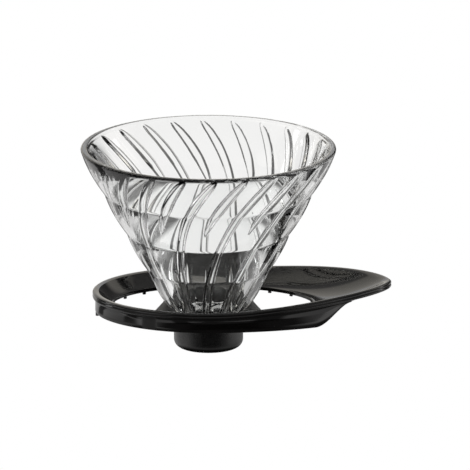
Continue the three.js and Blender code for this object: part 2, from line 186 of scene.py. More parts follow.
# The web is a low slab out to the skirt, a hair above its edge, and a thicker one inside the hole.
WEB_LOW_LIFT = 0.02
WEB_HIGH_LIFT = 0.5
WEB_PLACES = (-40.6, -12.0, 5.0, 40.6)
WEB_HALF_WIDTHS = (25.4, 24.6, 20.4, 20.4)
WEB_POINTS = 41
WEB_CLEARANCE = 1.6
HUB_RADIUS = 19.6
HUB_EDGE = 0.6
HUB_BOTTOM_Z = frame_low[2]
HUB_HOLE_RADIUS = 14.1
SOCKET_RINGS = 24
GAP = 0.3
CUT_OVERSHOOT = 1
CUT_COLUMNS = 192
EDGE_WIDTH = 0.25
EDGE_SEGMENTS = 2
EDGE_ANGLE = 50
SMOOTH_ANGLE = 35

# Seal ring and nut
SEAL_OUTER_RADIUS = (seal_high[0] - seal_low[0]) / 2
SMALL_ROUND = 0.3
NUT_RADIUS = (nut_high[0] - nut_low[0]) / 2
NUT_TOP_Z = nut_high[2]
NUT_BORE_RADIUS = 14.0
NUT_FLOOR = 2.6
NUT_HOLE_RADIUS = 9.3
NUT_ROUND = 3.5
NUT_TOP_ROUND = 0.5
NUT_STEP = 0.8
NUT_FLOOR_RADII = (
    NUT_BORE_RADIUS - 0.2, NUT_BORE_RADIUS - 1.5, NUT_HOLE_RADIUS + 1.5, NUT_HOLE_RADIUS + 0.4)
ROUND_COLUMNS = 240

# Materials. Noise has a scale in cycles per metre and a detail; colours and roughness go from the
# first value to the second with it, and each bump layer adds its height in metres and its strength.
LOOKS = {
    # Clear glass with a faint waviness from the mould and a very light grey-green tint
    "clear_glass": {
        "ior": 1.48,
        "transmission": 1.0,
        "colour": (40, 2.0, (0.975, 0.986, 0.982), (0.99, 0.995, 0.993)),
        "roughness": (300, 2.0, 0.0, 0.012),
        "bumps": ((70, 1.0, 0.0004, 0.02),),
    },
    # Polished black plastic: slight waviness from the mould, fine grain and uneven polish
    "gloss_black": {
        "ior": 1.5,
        "transmission": 0.0,
        "colour": (900, 4.0, (0.0045, 0.0041, 0.004), (0.0068, 0.0062, 0.0058)),
        "roughness": (220, 5.0, 0.05, 0.09),
        "bumps": ((55, 1.0, 0.001, 0.012), (2600, 3.0, 0.00004, 0.02)),
    },
    # Black plastic with a fine even grain
    "satin_black": {
        "ior": 1.5,
        "transmission": 0.0,
        "colour": (1500, 4.0, (0.0022, 0.0021, 0.0021), (0.004, 0.0039, 0.0039)),
        "roughness": (500, 4.0, 0.24, 0.32),
        "bumps": ((3500, 3.0, 0.00006, 0.12),),
    },
    # Dull dark grey rubber with light speckles
    "seal_rubber": {
        "ior": 1.5,
        "transmission": 0.0,
        "colour": (1200, 5.0, (0.03, 0.03, 0.032), (0.052, 0.052, 0.054)),
        "roughness": (400, 3.0, 0.6, 0.8),
        "bumps": ((2500, 4.0, 0.0001, 0.4),),
    },
}
# Noise values gather round 0.5, so this span is stretched to the whole range.
NOISE_LOW = 0.3
NOISE_HIGH = 0.7
# The unpolished middle of the frame: its roughness, and where it ends on either side of the cone's
# axis, in metres.
WEB_DULLNESS = 0.5
WEB_DULL_SIDE = (0.029, 0.031)
WEB_DULL_DEPTH = (0.0345, 0.0355)

# Camera, in metres and degrees
CAMERA_DISTANCE = 6.0
CAMERA_ELEVATION = 15.3
VIEW_WIDTH = 0.2136
VIEW_CENTRE = (-0.00055, 0.0, 0.05215)
SENSOR_WIDTH = 36.0

# Studio, in metres. Pairs named SPAN are where a soft edge starts and ends.
FLOOR_Z = -0.0085
FLOOR_HALF_SIZE = 4.0
ROOM_COLOUR = (1.0, 0.985, 0.97, 1)
ROOM_HEIGHT_SPAN = (0.25, 0.8)
ROOM_LOW_LEVEL = 0.13
ROOM_HIGH_LEVEL = 0.45
TABLE_COLOUR = (1.0, 0.99, 0.985, 1)
TABLE_CENTRE_Y = -0.03
TABLE_DARK_LEVEL = 0.12
TABLE_LEVEL = 0.95
TABLE_SPAN = (0.12, 0.17)
TABLE_DIAGONAL = 0.85
SPOKE_SPAN = (-0.85, -0.35)
DISC_LEVEL = 0.4
DISC_SPAN = (0.06, 0.10)
FRONT_LEVEL = 0.12
FRONT_Y_SPAN = (-0.05, -0.025)
FRONT_X_SPAN = (0.085, 0.115)
SIDE_LEVEL = 0.6
SIDE_X_SPAN = (0.03, 0.065)
SIDE_END_SPAN = (0.11, 0.16)
# Painted contact shadow on the floor under the nut: its level at the nut's axis and where it fades out.
NUT_SHADOW_LEVEL = 0.03
NUT_SHADOW_SPAN = (0.018, 0.03)
STRIP_LEVEL = 0.9
STRIP_EDGE_SPAN = (-0.1005, -0.0995)
STRIP_FADE_SPAN = (-0.085, -0.065)
STRIP_X_SPAN = (0.05, 0.09)
WHITE = (1, 1, 1)
WARM = (1.0, 0.96, 0.88)
CARD_AIM = (0, 0, 0.05)
# Each card: its centre, its width and height, its strength, its colour, the share of its half size
# over which it fades out, and whether it shows through glass.
CARDS = {
    "rim_card": ((0, 0.9, 0.37), (0.7, 0.14), 1.1, WHITE, 0.35, True),
    "back_card": ((-0.3, 0.86, 0.41), (1.2, 0.95), 1.0, WARM, 0.2, False),
    "sheen_card": ((-0.43, 0.08, 0.67), (0.7, 0.7), 1.2, WARM, 0.6, True),
    "dish_card": ((0.6, 0.3, 0.47), (0.7, 0.5), 1.2, WARM, 0.6, True),
    "top_card": ((-0.1, 0.2, 0.9), (0.5, 0.3), 1.2, WHITE, 0.35, True),
    "left_card": ((-0.9, 0.25, 0.42), (0.12, 0.6), 4.0, WHITE, 0.35, True),
    "right_card": ((0.9, 0.25, 0.42), (0.12, 0.6), 4.0, WHITE, 0.35, True),
}


# ---------------------------------------------------------------- camera and light

def make_camera():
    camera = bpy.data.objects.new("camera", bpy.data.cameras.new("camera"))
    bpy.context.collection.objects.link(camera)
    elevation = math.radians(CAMERA_ELEVATION)
    aim = Vector(VIEW_CENTRE)
    camera.data.sensor_width = SENSOR_WIDTH
    camera.data.lens = SENSOR_WIDTH * CAMERA_DISTANCE / VIEW_WIDTH
    camera.data.clip_start = 0.1
    camera.data.clip_end = 50.0
    camera.location = aim + CAMERA_DISTANCE * Vector((0, -math.cos(elevation), math.sin(elevation)))
    camera.rotation_mode = "QUATERNION"
    camera.rotation_quaternion = (aim - camera.location).to_track_quat("-Z", "Y")
    bpy.context.scene.camera = camera


def new_material(name):
    material = bpy.data.materials.new(name)
    material.use_nodes = True
    return material, material.node_tree


def map_range(tree, value, span, low, high):
    """A smooth step of a value from one level to another, over the span it is given."""
    node = tree.nodes.new("ShaderNodeMapRange")
    node.interpolation_type = "SMOOTHSTEP"
    node.inputs["From Min"].default_value = span[0]
    node.inputs["From Max"].default_value = span[1]
    node.inputs["To Min"].default_value = low
    node.inputs["To Max"].default_value = high
    tree.links.new(value, node.inputs["Value"])
    return node.outputs[0]


def place_sockets(tree, kind):
    """The x, y and z of a texture coordinate."""
    place = tree.nodes.new("ShaderNodeTexCoord")
    split = tree.nodes.new("ShaderNodeSeparateXYZ")
    tree.links.new(place.outputs[kind], split.inputs[0])
    return split.outputs["X"], split.outputs["Y"], split.outputs["Z"]


def math_node(tree, operation, first, second=None):
    node = tree.nodes.new("ShaderNodeMath")
    node.operation = operation
    for socket, value in zip(node.inputs, (first, second)):
        if value is None:
            continue
        if isinstance(value, (int, float)):
            socket.default_value = value
        else:
            tree.links.new(value, socket)
    return node.outputs[0]


def length_node(tree, first, second):
    """The length of a vector with the two given parts."""
    squares = [math_node(tree, "MULTIPLY", part, part) for part in (first, second)]
    return math_node(tree, "SQRT", math_node(tree, "ADD", *squares))


def show_to_camera(tree, white, other, output):
    """Camera rays see the white shader and all other rays the other one."""
    path = tree.nodes.new("ShaderNodeLightPath")
    mix = tree.nodes.new("ShaderNodeMixShader")
    tree.links.new(path.outputs["Is Camera Ray"], mix.inputs[0])
    tree.links.new(other.outputs[0], mix.inputs[1])
    tree.links.new(white.outputs[0], mix.inputs[2])
    tree.links.new(mix.outputs[0], output.inputs["Surface"])


def soft_light_material(name, strength, colour, fade):
    """A glowing card that fades out towards its edges, over the given share of its half size."""
    material, tree = new_material(name)
    tree.nodes.clear()
    shares = []
    for along in place_sockets(tree, "Generated")[:2]:
        from_middle = math_node(tree, "ABSOLUTE", math_node(tree, "SUBTRACT", along, 0.5))
        shares.append(map_range(tree, from_middle, (0.5 - 0.5 * fade, 0.5), 1.0, 0.0))
    light = tree.nodes.new("ShaderNodeEmission")
    light.inputs["Color"].default_value = (*colour, 1)
    light.inputs["Strength"].default_value = strength
    mix = tree.nodes.new("ShaderNodeMixShader")
    tree.links.new(math_node(tree, "MULTIPLY", shares[0], shares[1]), mix.inputs[0])
    tree.links.new(tree.nodes.new("ShaderNodeBsdfTransparent").outputs[0], mix.inputs[1])
    tree.links.new(light.outputs[0], mix.inputs[2])
    output = tree.nodes.new("ShaderNodeOutputMaterial")
    tree.links.new(mix.outputs[0], output.inputs["Surface"])
    return material


def light_card(name, centre, size, strength, colour, fade, through_glass):
    """A card of the studio that faces the object; the camera never sees it directly."""
    half_wide, half_high = size[0] / 2, size[1] / 2
    corners = [(-half_wide, -half_high, 0), (half_wide, -half_high, 0),
               (half_wide, half_high, 0), (-half_wide, half_high, 0)]
    mesh = bpy.data.meshes.new(name)
    mesh.from_pydata(corners, [], [(0, 1, 2, 3)])
    mesh.materials.append(soft_light_material(name, strength, colour, fade))
    card = bpy.data.objects.new(name, mesh)
    bpy.context.collection.objects.link(card)
    card.location = centre
    card.rotation_mode = "QUATERNION"
    card.rotation_quaternion = (Vector(CARD_AIM) - Vector(centre)).to_track_quat("Z", "Y")
    card.visible_camera = False
    card.visible_transmission = through_glass


def make_world():
    """White to the camera; the room that the object reflects is dark low down and dim above."""
    world = bpy.data.worlds.new("studio")
    bpy.context.scene.world = world
    world.use_nodes = True
    tree = world.node_tree
    tree.nodes.clear()
    white = tree.nodes.new("ShaderNodeBackground")
    white.inputs["Color"].default_value = (*WHITE, 1)
    white.inputs["Strength"].default_value = 1.0
    room = tree.nodes.new("ShaderNodeBackground")
    room.inputs["Color"].default_value = ROOM_COLOUR
    height = place_sockets(tree, "Generated")[2]
    level = map_range(tree, height, ROOM_HEIGHT_SPAN, ROOM_LOW_LEVEL, ROOM_HIGH_LEVEL)
    tree.links.new(level, room.inputs["Strength"])
    show_to_camera(tree, white, room, tree.nodes.new("ShaderNodeOutputWorld"))


def floor_material():
    """A light table, plain white to the camera.

    It has eight bright fields with darker spokes between them, a dimmer lit disc in the middle and a
    lit area at each side of the object. It is dark in front of the object, but not for rays that come
    through glass, and darkest under the nut, where a painted shadow stands in for the nut's contact
    shadow. A bright strip crosses each side of the dark front.
    """
    material, tree = new_material("floor")
    tree.nodes.clear()

    def product(first, second):
        return math_node(tree, "MULTIPLY", first, second)

    x, y, _ = place_sockets(tree, "Object")
    sideways = math_node(tree, "ABSOLUTE", x)
    reach = length_node(tree, x, math_node(tree, "SUBTRACT", y, TABLE_CENTRE_Y))
    from_axis = length_node(tree, math_node(tree, "SUBTRACT", x, float(AXIS_X) * MM), y)
    turn = math_node(tree, "ARCTAN2", y, x)
    eighths = math_node(tree, "COSINE", product(turn, 8.0))
    quarters = math_node(tree, "COSINE", product(turn, 4.0))
    fields = product(map_range(tree, eighths, SPOKE_SPAN, 0.0, 1.0),
                     map_range(tree, quarters, (-1.0, 1.0), TABLE_DIAGONAL, 1.0))
    outer = product(fields, map_range(tree, reach, TABLE_SPAN, 0.0, TABLE_LEVEL - TABLE_DARK_LEVEL))
    disc = map_range(tree, reach, DISC_SPAN, DISC_LEVEL, 0.0)
    beside = product(map_range(tree, sideways, SIDE_X_SPAN, 0.0, SIDE_LEVEL),
                     map_range(tree, reach, SIDE_END_SPAN, 1.0, 0.0))
    front = math_node(tree, "MAXIMUM",
                      map_range(tree, sideways, FRONT_X_SPAN, FRONT_LEVEL, 1.0),
                      map_range(tree, y, FRONT_Y_SPAN, FRONT_LEVEL, 1.0))
    path = tree.nodes.new("ShaderNodeLightPath")
    front = math_node(tree, "MAXIMUM", front, path.outputs["Is Transmission Ray"])
    lit = math_node(tree, "ADD", math_node(tree, "ADD", outer, disc), beside)
    lit = product(math_node(tree, "ADD", lit, TABLE_DARK_LEVEL), front)
    # Painted shadow under the nut: the floor's glow drops towards the nut's axis.
    lit = product(lit, map_range(tree, from_axis, NUT_SHADOW_SPAN, NUT_SHADOW_LEVEL, 1.0))
    strip = product(map_range(tree, y, STRIP_EDGE_SPAN, 0.0, 1.0),
                    map_range(tree, y, STRIP_FADE_SPAN, STRIP_LEVEL, 0.0))
    strip = product(strip, map_range(tree, sideways, STRIP_X_SPAN, 0.0, 1.0))
    table = tree.nodes.new("ShaderNodeEmission")
    table.inputs["Color"].default_value = TABLE_COLOUR
    tree.links.new(math_node(tree, "ADD", lit, strip), table.inputs["Strength"])
    white = tree.nodes.new("ShaderNodeEmission")
    white.inputs["Strength"].default_value = 1.0
    show_to_camera(tree, white, table, tree.nodes.new("ShaderNodeOutputMaterial"))
    return material


def make_studio():
    make_world()
    mesh = bpy.data.meshes.new("floor")
    far = FLOOR_HALF_SIZE
    mesh.from_pydata([(-far, -far, 0), (far, -far, 0), (far, far, 0), (-far, far, 0)], [], [(0, 1, 2, 3)])
    mesh.materials.append(floor_material())
    floor = bpy.data.objects.new("floor", mesh)
    bpy.context.collection.objects.link(floor)
    floor.location.z = FLOOR_Z
    for name, card in CARDS.items():
        light_card(name, *card)
    bpy.context.scene.view_settings.view_transform = "Standard"


# ---------------------------------------------------------------- meshes by formula

def smooth_step(value):
    clamped = np.clip(value, 0.0, 1.0)
    return clamped * clamped * (3 - 2 * clamped)


def object_from(name, points, faces):
    """A smooth-shaded object from points in millimetres about the cone's axis."""
    mesh = bpy.data.meshes.new(name)
    placed = (np.asarray(points, dtype=np.float64) + (AXIS_X, 0.0, 0.0)) * MM
    mesh.from_pydata(placed.tolist(), [], faces)
    mesh.validate()
    mesh.polygons.foreach_set("use_smooth", [True] * len(mesh.polygons))
    made = bpy.data.objects.new(name, mesh)
    bpy.context.collection.objects.link(made)
    return made


def ring_faces(rings, columns, closed=True):
    faces = []
    for ring in range(rings if closed else rings - 1):
        here = ring * columns
        after = ((ring + 1) % rings) * columns
        for column in range(columns):
            beside = (column + 1) % columns
            faces.append((here + column, here + beside, after + beside, after + column))
    return faces


def facing_out(points, faces):
    """Turns the faces round when the volume they close comes out negative."""
    corners = points[np.array(faces)]
    first = np.einsum("ij,ij->i", corners[:, 0], np.cross(corners[:, 1], corners[:, 2]))
    second = np.einsum("ij,ij->i", corners[:, 0], np.cross(corners[:, 2], corners[:, 3]))
    if first.sum() + second.sum() < 0:
        return [face[::-1] for face in faces]
    return faces


def grid_object(name, rings):
    """Joins rings of equal length, an array of rings x columns x 3, into one closed skin."""
    rings = np.asarray(rings)
    points = rings.reshape(-1, 3)
    faces = facing_out(points, ring_faces(rings.shape[0], rings.shape[1]))
    return object_from(name, points, faces)


def full_turn(columns):
    return np.linspace(0, 2 * math.pi, columns, endpoint=False)


def polar_ring(radius, height, angles):
    radius = np.broadcast_to(radius, angles.shape)
    height = np.broadcast_to(height, angles.shape)
    return np.stack([radius * np.cos(angles), radius * np.sin(angles), height], axis=-1)


def arc(centre_r, centre_z, radius, start, end, steps):
    """Points of a round edge in a section, as (radius, height) pairs, angles in degrees."""
    angles = np.radians(np.linspace(start, end, steps))
    return [(centre_r + radius * math.cos(a), centre_z + radius * math.sin(a)) for a in angles]


def sampled(start, end, spacing):
    """Pairs from one point of a section to the next, without the end point."""
    length = math.dist(start, end)
    steps = max(1, round(length / spacing))
    return [(start[0] + (end[0] - start[0]) * k / steps, start[1] + (end[1] - start[1]) * k / steps)
            for k in range(steps)]


# ---------------------------------------------------------------- glass cone

def bowl_radius(depth):
    """Outer wall below the tiers, which turns round to the shoulder above the neck."""
    full = TOTAL_HEIGHT - SHOULDER_Z - TIER_DEPTHS[-1]
    share = (depth - TIER_DEPTHS[-1]) / full
    turn = TIER_RADII[-1] - BOWL_END_RADIUS - BOWL_SLOPE * full
    return TIER_RADII[-1] - BOWL_SLOPE * full * share - turn * (1 - math.sqrt(max(0.0, 1 - share * share)))


def tier_place(depth):
    """The tier a depth is in, and how far down it is as a share of its height."""
    tier = int(np.clip(np.searchsorted(TIER_DEPTHS, depth) - 1, 0, len(TIER_BULGES) - 1))
    share = (depth - TIER_DEPTHS[tier]) / (TIER_DEPTHS[tier + 1] - TIER_DEPTHS[tier])
    return tier, min(max(share, 0.0), 1.0)


def bowl_depths(count):
    """Depths from the shoulder up to the lowest tier, closest together at the shoulder."""
    full = TOTAL_HEIGHT - SHOULDER_Z - TIER_DEPTHS[-1]
    return TIER_DEPTHS[-1] + full * np.sin(np.linspace(math.pi / 2, 0.0, count))


def sharp_outer_radius(depth):
    """Outer wall with sharp corners between its tiers."""
    if depth > TIER_DEPTHS[-1]:
        return bowl_radius(depth)
    tier, share = tier_place(depth)
    straight = TIER_RADII[tier] + (TIER_RADII[tier + 1] - TIER_RADII[tier]) * share
    return straight + TIER_BULGES[tier] * 4 * share * (1 - share)


def glass_outer_radius(depth):
    """Outer wall with the corners between its tiers softened."""
    near = np.linspace(-TIER_BLEND, TIER_BLEND, TIER_BLEND_SAMPLES)
    return float(np.mean([sharp_outer_radius(depth + step) for step in near]))


def glass_inner_radius(depth):
    """Inner wall without its ribs: a cone that is a little thicker in the middle of its upper tiers."""
    tier, share = tier_place(depth)
    swell = INNER_BULGE * 4 * share * (1 - share) * (tier < INNER_BULGE_TIERS)
    return max(OUTLET_RADIUS, RIM_RADIUS - RIM_THICKNESS - INNER_SLOPE * depth - swell)


def rib_angle(depth):
    turn = RIB_TURN * (1 - np.exp(-np.asarray(depth) / RIB_TURN_DEPTH))
    return np.radians(RIB_PHASE - 90 - turn)


def rib_relief(column_angle, depth, radius):
    """Height of the ribs, 0 to 1: leaf shapes with round upper ends, and every second one short."""
    spacing = 2 * math.pi / RIB_COUNT
    number = np.round(column_angle / spacing)
    across = (column_angle - number * spacing) * radius
    short = (number.astype(int) % 2) == 1
    long_width = np.interp(depth, RIB_DEPTHS, LONG_HALF_WIDTHS)
    short_width = np.interp(depth, SHORT_RIB_DEPTHS, SHORT_HALF_WIDTHS)
    share_of_spacing = RIB_SHARE_LOW if depth > SHORT_RIB_DEPTHS[-1] else RIB_SHARE_HIGH
    room = share_of_spacing * radius * spacing
    half_width = np.minimum(np.where(short, short_width, long_width), room)
    end = np.where(short, SHORT_RIB_DEPTHS[-1], RIB_DEPTHS[-1])
    lead = np.clip((depth - RIB_START) / RIB_ARCH, 0.0, 1.0)
    arch = np.sqrt(np.clip(1 - (1 - lead) ** 2, 0.0, 1.0))
    half_width = np.maximum(half_width * arch * (depth < end), RIB_LEAST_HALF_WIDTH)
    share = np.abs(across) / half_width
    height = np.minimum(1.0, half_width / RIB_FULL_HALF_WIDTH)
    return np.clip(1 - share ** RIB_SQUARENESS, 0.0, 1.0) * height


def thread_offset(angles, height, start_z, turns):
    """Share of the thread's height at a point of the wall, from 0 beside the ridge to 1 on it."""
    turn = np.mod(angles, 2 * math.pi) / (2 * math.pi)
    best = np.zeros_like(angles)
    for lap in range(int(math.ceil(turns)) + 1):
        along = turn + lap
        distance = np.abs(height - (start_z + THREAD_PITCH * along))
        flank = (THREAD_HALF_BASE - distance) / (THREAD_HALF_BASE - THREAD_HALF_TIP)
        fade = smooth_step(along / THREAD_FADE_TURNS) * smooth_step((turns - along) / THREAD_FADE_TURNS)
        best = np.maximum(best, smooth_step(flank) * fade)
    return best


def glass_rings():
    """The whole skin: up the neck and the outer wall, over the rim, down the ribs and the outlet."""
    base = full_turn(GLASS_COLUMNS)
    rings = []

    def add(depth, radius):
        rings.append(polar_ring(radius, TOTAL_HEIGHT - depth, base + rib_angle(depth)))

    neck_end = TOTAL_HEIGHT - NECK_END_Z
    shoulder = TOTAL_HEIGHT - SHOULDER_Z
    for height in np.arange(NECK_END_Z + NECK_ROUND, SHOULDER_Z - JOIN_STEP, THREAD_STEP):
        angles = base + rib_angle(TOTAL_HEIGHT - height)
        ridge = thread_offset(angles, height, NECK_THREAD_Z, NECK_THREAD_TURNS)
        rings.append(polar_ring(NECK_RADIUS + ridge * (NECK_THREAD_TIP - NECK_RADIUS), height, angles))
    add(shoulder, NECK_RADIUS + SHOULDER_FILLET)
    for depth in bowl_depths(BOWL_RINGS):
        add(depth, bowl_radius(depth))
    for depth in np.arange(TIER_DEPTHS[-1] - OUTER_STEP, RIM_ROUND + OUTER_STEP, -OUTER_STEP):
        add(depth, glass_outer_radius(depth))
    inner_rim = RIM_RADIUS - RIM_THICKNESS
    rim = arc(RIM_RADIUS - RIM_ROUND, -RIM_ROUND, RIM_ROUND, 0, 90, 9)
    rim += arc(inner_rim + RIM_ROUND, -RIM_ROUND, RIM_ROUND, 97, 172, 8)
    for radius, height in rim:
        add(-height, radius)
    throat = (inner_rim - OUTLET_RADIUS) / INNER_SLOPE
    for depth in np.arange(RIM_ROUND + 0.1, throat - JOIN_STEP, INNER_STEP):
        radius = glass_inner_radius(depth)
        add(depth, radius - RIB_HEIGHT * rib_relief(base, depth, radius))
    for depth in np.linspace(throat + JOIN_STEP, neck_end - NECK_ROUND, OUTLET_RINGS):
        add(depth, OUTLET_RADIUS)
    neck_edge = arc(OUTLET_RADIUS + NECK_ROUND, NECK_END_Z + NECK_ROUND, NECK_ROUND, 190, 260, 4)
    neck_edge += arc(NECK_RADIUS - NECK_ROUND, NECK_END_Z + NECK_ROUND, NECK_ROUND, -80, -10, 4)
    for radius, height in neck_edge:
        add(TOTAL_HEIGHT - height, radius)
    return np.array(rings)


# ---------------------------------------------------------------- plate

def plate_outline(angle, inset):
    cosine, sine = np.cos(angle), np.sin(angle)
    reach = np.where(cosine < 0, PLATE_LEFT, PLATE_TIP)
    bend = np.where(cosine < 0, 1.0, PADDLE_SHARPNESS)
    across = np.sign(sine) * np.abs(sine) ** bend
    return (reach - inset) * cosine, (PLATE_HALF_DEPTH - inset) * across


def hole_outline(angle, inset):
    """The hole's outline: two half ellipses that meet at the glass cone's axis."""
    reach = np.where(np.cos(angle) < 0, HOLE_LEFT, HOLE_RIGHT) - inset
    return reach * np.cos(angle), (HOLE_HALF_DEPTH - inset) * np.sin(angle)


def crest_height(x):
    return CREST_Z + TIP_RISE * smooth_step(x / PLATE_TIP)


def dish_ring(angle, share, lower):
    """A ring of the dish, a share of the way from the hole to the lip and some way below its face."""
    outer_x, outer_y = plate_outline(angle, LIP_WIDTH)
    inner_x, inner_y = hole_outline(angle, 0.0)
    x = inner_x + (outer_x - inner_x) * share
    y = inner_y + (outer_y - inner_y) * share
    bow = DISH_BOW + PADDLE_EXTRA_BOW * smooth_step(np.cos(angle))
    rise = (crest_height(outer_x) - INNER_EDGE_Z) * share ** bow
    return np.stack([x, y, INNER_EDGE_Z + rise - lower], axis=-1)


def lip_ring(angle, inset, drop):
    x, y = plate_outline(angle, inset)
    return np.stack([x, y, crest_height(x) - drop], axis=-1)


def plate_rings():
    """The whole skin: up over the lip, in along the dish, round the hole's edge and back below."""
    angles = full_turn(PLATE_COLUMNS)
    rings = [lip_ring(angles, inset, drop) for inset, drop in LIP_SECTION]
    rings += [dish_ring(angles, share, 0.0) for share in np.linspace(0.965, 0.03, DISH_RINGS)]
    rings += [dish_ring(angles, share, lower) for share, lower in HOLE_EDGE]
    rings += [dish_ring(angles, share, PLATE_THICKNESS)
              for share in np.linspace(0.01, 0.85, DISH_UNDER_RINGS)]
    rings += [lip_ring(angles, inset, drop) for inset, drop in LIP_UNDERSIDE]
    return np.array(rings)


def block(name, size, place, turn=0.0):
    """A small block with rounded edges, turned about its own upright axis."""
    mesh = bpy.data.meshes.new(name)
    shape = bmesh.new()
    bmesh.ops.create_cube(shape, size=1.0)
    bmesh.ops.scale(shape, vec=Vector(size), verts=shape.verts)
    bmesh.ops.bevel(shape, geom=shape.edges[:], offset=min(size) * BLOCK_ROUND_SHARE, segments=3,
                    affect="EDGES", profile=0.5)
    bmesh.ops.rotate(shape, matrix=Matrix.Rotation(turn, 3, "Z"), verts=shape.verts)
    bmesh.ops.translate(shape, vec=Vector(place) + Vector((AXIS_X, 0, 0)), verts=shape.verts)
    bmesh.ops.scale(shape, vec=Vector((MM, MM, MM)), verts=shape.verts)
    shape.to_mesh(mesh)
    shape.free()
    made = bpy.data.objects.new(name, mesh)
    bpy.context.collection.objects.link(made)
    return made


def make_plate():
    """The plate with the small catches under the edge of its hole."""
    made = grid_object("paddle_plate", plate_rings())
    height = PLATE_THICKNESS + CATCH_DROP - CATCH_BURY
    catches = []
    for degrees in CATCH_ANGLES:
        for side in (-1, 1):
            angle = math.radians(side * degrees)
            x, y, _ = dish_ring(np.array([angle]), CATCH_PLACE, 0.0)[0]
            reach = HOLE_LEFT if math.cos(angle) < 0 else HOLE_RIGHT
            turn = math.atan2(math.sin(angle) / HOLE_HALF_DEPTH, math.cos(angle) / reach)
            place = (x, y, INNER_EDGE_Z - CATCH_BURY - height / 2)
            catches.append(block("catch", (CATCH_DEEP, CATCH_WIDTH, height), place, turn))
    for catch in catches:
        combine(made, catch, "UNION")
    return made


# ---------------------------------------------------------------- nut and seal

def turned_rings(section):
    angles = full_turn(ROUND_COLUMNS)
    return np.array([polar_ring(radius, height, angles) for radius, height in section])


def nut_rings():
    """The whole skin: out along the base, up the side, over the top, down the threaded bore and in."""
    small, top = SMALL_ROUND, NUT_TOP_ROUND
    outside = arc(NUT_HOLE_RADIUS + small, small, small, 180, 270, 4)
    outside += sampled((NUT_HOLE_RADIUS + top, 0), (NUT_RADIUS - NUT_ROUND, 0), NUT_STEP)
    outside += arc(NUT_RADIUS - NUT_ROUND, NUT_ROUND, NUT_ROUND, -90, 0, 16)
    outside += sampled((NUT_RADIUS, NUT_ROUND + top), (NUT_RADIUS, NUT_TOP_Z - top), NUT_STEP)
    outside += arc(NUT_RADIUS - top, NUT_TOP_Z - top, top, 0, 90, 5)
    outside += arc(NUT_BORE_RADIUS + small, NUT_TOP_Z - small, small, 90, 180, 4)
    angles = full_turn(ROUND_COLUMNS)
    start_z = NECK_THREAD_Z + THREAD_PITCH / 2
    bore = []
    for height in np.arange(NUT_TOP_Z - 2 * small, NUT_FLOOR + small, -THREAD_STEP):
        ridge = thread_offset(angles, height, start_z, NUT_THREAD_TURNS)
        radius = NUT_BORE_RADIUS - ridge * (NUT_BORE_RADIUS - NUT_THREAD_TIP)
        bore.append(polar_ring(radius, height, angles))
    inside = [(radius, NUT_FLOOR) for radius in NUT_FLOOR_RADII]
    inside += arc(NUT_HOLE_RADIUS + small, NUT_FLOOR - small, small, 100, 180, 4)
    return np.concatenate([turned_rings(outside), bore, turned_rings(inside)])


def seal_rings():
    low, high, edge = seal_low[2], seal_high[2], SMALL_ROUND
    section = arc(SEAL_OUTER_RADIUS - edge, low + edge, edge, -90, 0, 6)
    section += arc(SEAL_OUTER_RADIUS - edge, high - edge, edge, 0, 90, 6)
    section += arc(HUB_HOLE_RADIUS + edge, high - edge, edge, 90, 180, 6)
    section += arc(HUB_HOLE_RADIUS + edge, low + edge, edge, 180, 270, 6)
    return turned_rings(section)


# ---------------------------------------------------------------- skirt frame

def skirt_bottom(x, top):
    """Height of the skirt's lower edge, which sweeps up under the paddle."""
    sweep = smooth_step((x - SKIRT_RISE_START) / (SKIRT_END - SKIRT_RISE_START))
    return SKIRT_BOTTOM_Z + (top - SKIRT_TIP_HEIGHT - SKIRT_BOTTOM_Z) * sweep


def skirt_wall():
    """The skirt as a bar with rounded lower edges that runs round the left and both sides."""
    end_angle = math.acos(SKIRT_END / (PLATE_TIP - SKIRT_INSET))
    angles = np.linspace(end_angle, 2 * math.pi - end_angle, SKIRT_COLUMNS)
    outer_x, _ = plate_outline(angles, SKIRT_INSET)
    top = crest_height(outer_x) - LIP_HEIGHT - GAP
    bottom = skirt_bottom(outer_x, top)
    height = top - bottom
    edge = np.minimum(SKIRT_EDGE, height * SKIRT_EDGE_SHARE)
    # Round the bar's section: (inset from the skirt's face, share of the height).
    section = [(0.0, edge / height), (0.0, 0.33), (0.0, 0.66), (0.0, 1.0), (1.0, 1.0), (2.0, 1.0),
               (2.0, 0.66), (2.0, 0.33), (2.0, edge / height), (1.9, edge * 0.3 / height),
               (1.65, 0.0), (1.0, 0.0), (0.35, 0.0), (0.1, edge * 0.3 / height)]
    loops = []
    for inset, share in section:
        x, y = plate_outline(angles, SKIRT_INSET + inset)
        loops.append(np.stack([x, y, bottom + height * share], axis=-1))
    loops = np.array(loops)
    sides, count = loops.shape[:2]
    points = loops.reshape(-1, 3)
    faces = []
    for side in range(sides):
        beside = (side + 1) % sides
        for column in range(count - 1):
            faces.append((side * count + column, side * count + column + 1,
                          beside * count + column + 1, beside * count + column))
    faces = facing_out(points, faces)
    start_cap = [side * count for side in range(sides)]
    end_cap = [side * count + count - 1 for side in range(sides)]
    return points, faces + [tuple(start_cap), tuple(end_cap[::-1])]


def prism(outline, low, high):
    """The points and faces of an upright solid with the given outline."""
    count = len(outline)
    points = [(x, y, low) for x, y in outline] + [(x, y, high) for x, y in outline]
    faces = [tuple(range(count))[::-1], tuple(range(count, 2 * count))]
    for here in range(count):
        beside = (here + 1) % count
        faces.append((here, beside, count + beside, count + here))
    return np.array(points), faces


def combine(target, tool, operation):
    """Joins or cuts one object by another and keeps only the result."""
    change = target.modifiers.new("combine", "BOOLEAN")
    change.operation = operation
    change.solver = "EXACT"
    change.object = tool
    apply_modifiers(target)
    bpy.data.objects.remove(tool, do_unlink=True)


def apply_modifiers(target):
    """Keeps what the modifiers make as the object's own mesh."""
    graph = bpy.context.evaluated_depsgraph_get()
    mesh = bpy.data.meshes.new_from_object(target.evaluated_get(graph))
    target.modifiers.clear()
    target.data = mesh


